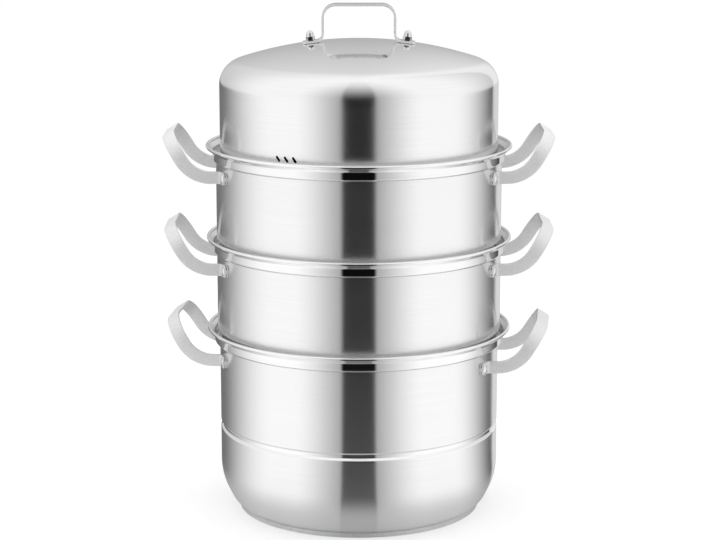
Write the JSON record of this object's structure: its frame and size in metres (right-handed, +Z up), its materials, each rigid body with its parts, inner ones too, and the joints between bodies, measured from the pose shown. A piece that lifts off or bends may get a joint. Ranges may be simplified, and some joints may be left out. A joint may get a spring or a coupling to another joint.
{
  "type": "steamer pot",
  "caption": "Stainless steel steamer pot with stacked steaming tiers, perforated steam plates, riveted strap handles and a domed lid.",
  "frame": {"origin": "centre of the round base, on the surface that the pot stands on", "axes": "+Z up along the axis of the vessels, +X through the right handle of the two tiers, so -Y is the side that the picture shows"},
  "size_m": [0.386, 0.304, 0.5085],
  "materials": {
    "shell_steel": "brushed walls, polished bands and dome",
    "handle_steel": "satin",
    "plate_steel": "satin",
    "base_steel": "satin",
    "fastener_steel": "polished",
    "aluminium_core": "plain"
  },
  "bodies": {
    "bottom_pot": {"pot_shell": "shell_steel", "pot_base_core": "aluminium_core", "pot_base_cap": "base_steel", "pot_handle_left": "handle_steel", "pot_handle_right": "handle_steel", "pot_handle_rivets": "fastener_steel"},
    "pot_steam_plate_body": {"pot_steam_plate": "plate_steel"},
    "lower_tier": {"lower_tier_shell": "shell_steel", "lower_tier_handle_left": "handle_steel", "lower_tier_handle_right": "handle_steel", "lower_tier_rivets": "fastener_steel"},
    "lower_steam_plate_body": {"lower_steam_plate": "plate_steel"},
    "upper_tier": {"upper_tier_shell": "shell_steel", "upper_tier_handle_left": "handle_steel", "upper_tier_handle_right": "handle_steel", "upper_tier_rivets": "fastener_steel"},
    "upper_steam_plate_body": {"upper_steam_plate": "plate_steel"},
    "lid": {"lid_shell": "shell_steel", "lid_handle": "handle_steel", "lid_handle_screws": "fastener_steel", "lid_handle_washers": "fastener_steel", "lid_handle_nuts": "fastener_steel"}
  },
  "joints": [
    {"name": "pot_plate_lift", "type": "slide", "parent": "bottom_pot", "child": "pot_steam_plate_body", "axis": [0, 0, 1], "range_m": [0, 0.07]},
    {"name": "lower_tier_lift", "type": "slide", "parent": "bottom_pot", "child": "lower_tier", "axis": [0, 0, 1], "range_m": [0, 0.12]},
    {"name": "lower_plate_lift", "type": "slide", "parent": "lower_tier", "child": "lower_steam_plate_body", "axis": [0, 0, 1], "range_m": [0, 0.07]},
    {"name": "upper_tier_lift", "type": "slide", "parent": "lower_tier", "child": "upper_tier", "axis": [0, 0, 1], "range_m": [0, 0.12]},
    {"name": "upper_plate_lift", "type": "slide", "parent": "upper_tier", "child": "upper_steam_plate_body", "axis": [0, 0, 1], "range_m": [0, 0.07]},
    {"name": "lid_lift", "type": "slide", "parent": "upper_tier", "child": "lid", "axis": [0, 0, 1], "range_m": [0, 0.12]}
  ]
}
